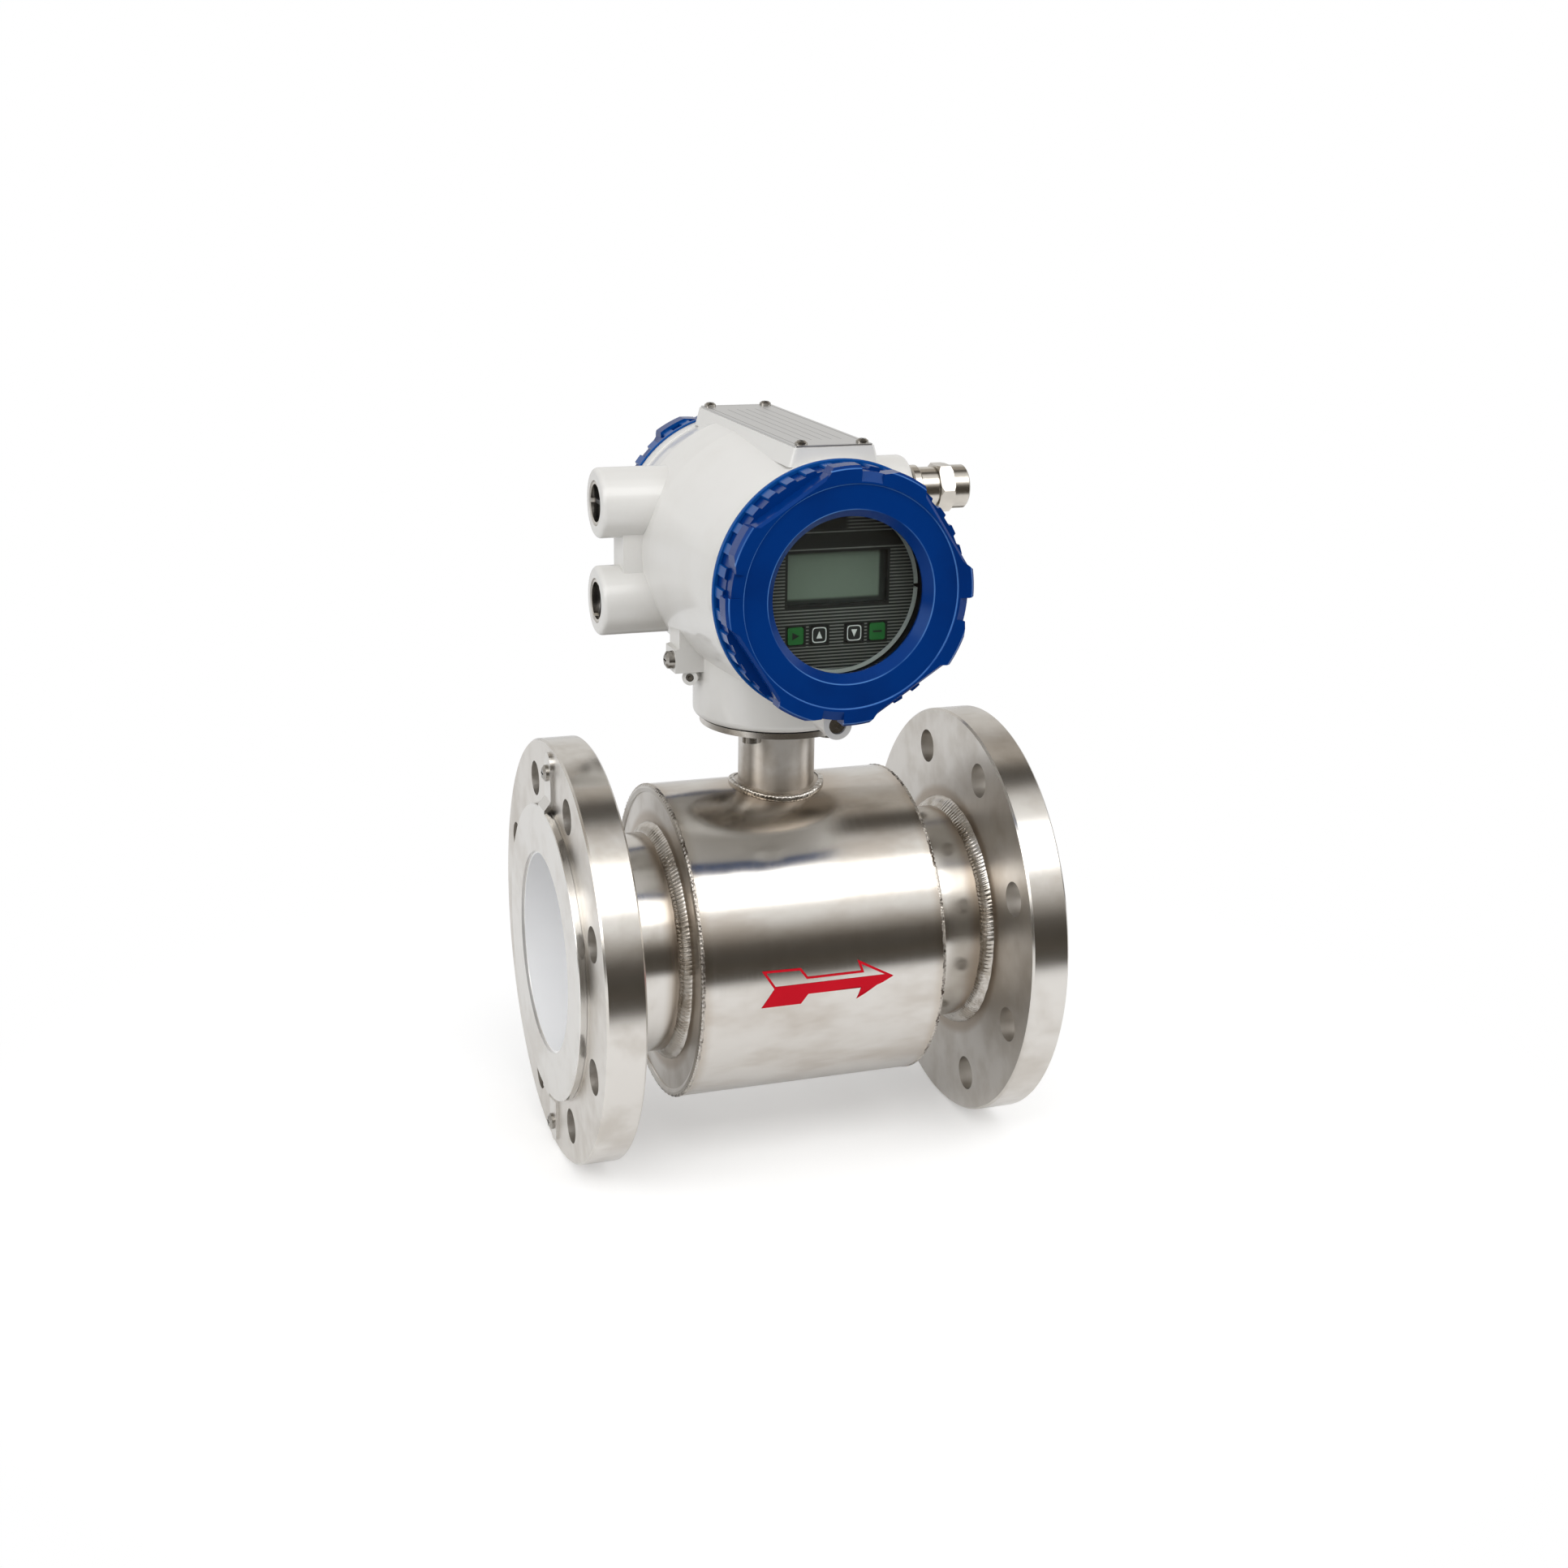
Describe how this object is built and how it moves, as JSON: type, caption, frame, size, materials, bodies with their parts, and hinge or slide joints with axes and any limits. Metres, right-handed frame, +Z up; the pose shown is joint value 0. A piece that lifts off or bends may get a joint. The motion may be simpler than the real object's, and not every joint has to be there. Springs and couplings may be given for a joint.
{
  "type": "electromagnetic flow meter",
  "caption": "Flanged electromagnetic flow meter with a round blue-lidded transmitter head, display window, keys and cable gland.",
  "frame": {"origin": "centre of the inlet flange's outer face, on the pipe axis", "axes": "+X along the flow from inlet to outlet, +Z up through the stem, -Y towards the display"},
  "size_m": [0.25, 0.22, 0.3793],
  "materials": {
    "stainless": "satin",
    "polished_stainless": "satin",
    "zinc_screws": "satin",
    "magnet_steel": "satin",
    "enamel_white": "satin",
    "enamel_blue": "gloss",
    "ptfe_white": "satin",
    "black_plastic": "satin",
    "panel_black": "satin",
    "lcd_green": "gloss",
    "board_green": "gloss",
    "key_rubber": "matte",
    "seal_rubber": "matte",
    "window_glass": "gloss",
    "nickel_brass": "satin",
    "plate_metal": "satin",
    "coil_copper": "satin",
    "anodised": "satin"
  },
  "bodies": {
    "meter_body": {"base_gasket": "seal_rubber", "base_screws": "zinc_screws", "board_pillars": "zinc_screws", "clamp_set_screw": "zinc_screws", "coil_housing_shell": "stainless", "cover_lock_screw": "zinc_screws", "display_board": "board_green", "display_panel": "panel_black", "display_pillars": "zinc_screws", "earth_screw": "zinc_screws", "earth_washers": "zinc_screws", "electrode_bushes": "ptfe_white", "electrode_nuts": "zinc_screws", "entry_plug_caps": "black_plastic", "entry_plug_rings": "nickel_brass", "flow_liner": "ptfe_white", "front_electrode": "polished_stainless", "gland_body": "nickel_brass", "gland_nut": "nickel_brass", "gland_seal": "seal_rubber", "gland_washer": "seal_rubber", "grounding_ring_screws": "zinc_screws", "housing_body": "enamel_white", "inlet_end_plate": "stainless", "inlet_flange": "stainless", "inlet_grounding_ring": "polished_stainless", "key_switches": "black_plastic", "lcd_module": "lcd_green", "lower_coil": "coil_copper", "lower_pole_shoe": "magnet_steel", "main_board": "board_green", "measuring_tube": "stainless", "nameplate": "plate_metal", "nameplate_screws": "zinc_screws", "outlet_end_plate": "stainless", "outlet_flange": "stainless", "outlet_grounding_ring": "polished_stainless", "panel_bezel": "anodised", "panel_posts": "black_plastic", "rear_electrode": "polished_stainless", "return_yoke": "magnet_steel", "stem": "stainless", "stem_plate": "stainless", "terminal_block": "black_plastic", "terminal_screws": "zinc_screws", "upper_coil": "coil_copper", "upper_pole_shoe": "magnet_steel"},
    "front_cover_thread": {"front_cover_oring": "seal_rubber"},
    "front_cover": {"front_cover": "enamel_blue", "window_glass": "window_glass", "glass_gasket": "seal_rubber", "glass_retainer": "anodised"},
    "rear_cover_thread": {"rear_cover_oring": "seal_rubber"},
    "rear_cover": {"rear_cover": "enamel_blue"},
    "menu_key": {"menu_key": "key_rubber"},
    "up_key": {"up_key": "key_rubber"},
    "down_key": {"down_key": "key_rubber"},
    "enter_key": {"enter_key": "key_rubber"}
  },
  "joints": [
    {"name": "front_cover_travel", "type": "slide", "parent": "meter_body", "child": "front_cover_thread", "axis": [0, -1, 0], "range_m": [0, 0.012]},
    {"name": "front_cover_turn", "type": "hinge", "parent": "front_cover_thread", "child": "front_cover", "pos_m": [0.12, 0, 0.2005], "axis": [0, -1, 0], "range_deg": [0, 2160]},
    {"name": "rear_cover_travel", "type": "slide", "parent": "meter_body", "child": "rear_cover_thread", "axis": [0, 1, 0], "range_m": [0, 0.012]},
    {"name": "rear_cover_turn", "type": "hinge", "parent": "rear_cover_thread", "child": "rear_cover", "pos_m": [0.12, 0, 0.2005], "axis": [0, 1, 0], "range_deg": [0, 2160]},
    {"name": "menu_key_press", "type": "slide", "parent": "meter_body", "child": "menu_key", "axis": [0, 1, 0], "range_m": [0, 0.0005], "stiffness_N_per_m": 2000},
    {"name": "up_key_press", "type": "slide", "parent": "meter_body", "child": "up_key", "axis": [0, 1, 0], "range_m": [0, 0.0005], "stiffness_N_per_m": 2000},
    {"name": "down_key_press", "type": "slide", "parent": "meter_body", "child": "down_key", "axis": [0, 1, 0], "range_m": [0, 0.0005], "stiffness_N_per_m": 2000},
    {"name": "enter_key_press", "type": "slide", "parent": "meter_body", "child": "enter_key", "axis": [0, 1, 0], "range_m": [0, 0.0005], "stiffness_N_per_m": 2000}
  ],
  "couplings": [
    {"joint": "front_cover_travel", "follows": "front_cover_turn", "m_per_rad": 0.00031831},
    {"joint": "rear_cover_travel", "follows": "rear_cover_turn", "m_per_rad": 0.00031831}
  ]
}
